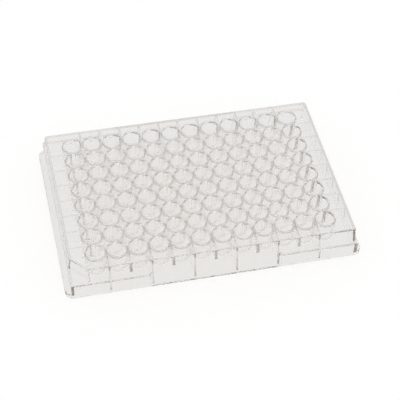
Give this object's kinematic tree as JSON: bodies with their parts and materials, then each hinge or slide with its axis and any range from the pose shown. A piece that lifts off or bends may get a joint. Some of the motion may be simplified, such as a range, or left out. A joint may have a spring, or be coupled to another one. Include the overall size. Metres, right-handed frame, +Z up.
{
  "type": "well plate",
  "caption": "Clear flat-bottomed multiwell plate with raised well rims, a stepped skirt and one cut corner, moulded in one piece.",
  "frame": {"origin": "centre of the rectangular footprint, on the surface that the plate stands on", "axes": "+X along the long side, from the first column of wells to the last; +Y across the plate, towards the first row, away from the cut corner; +Z up, out of the wells"},
  "size_m": [0.1278, 0.0854, 0.0143],
  "materials": {
    "clear_polystyrene": "gloss"
  },
  "bodies": {
    "root": {"well_plate": "clear_polystyrene"}
  },
  "joints": []
}
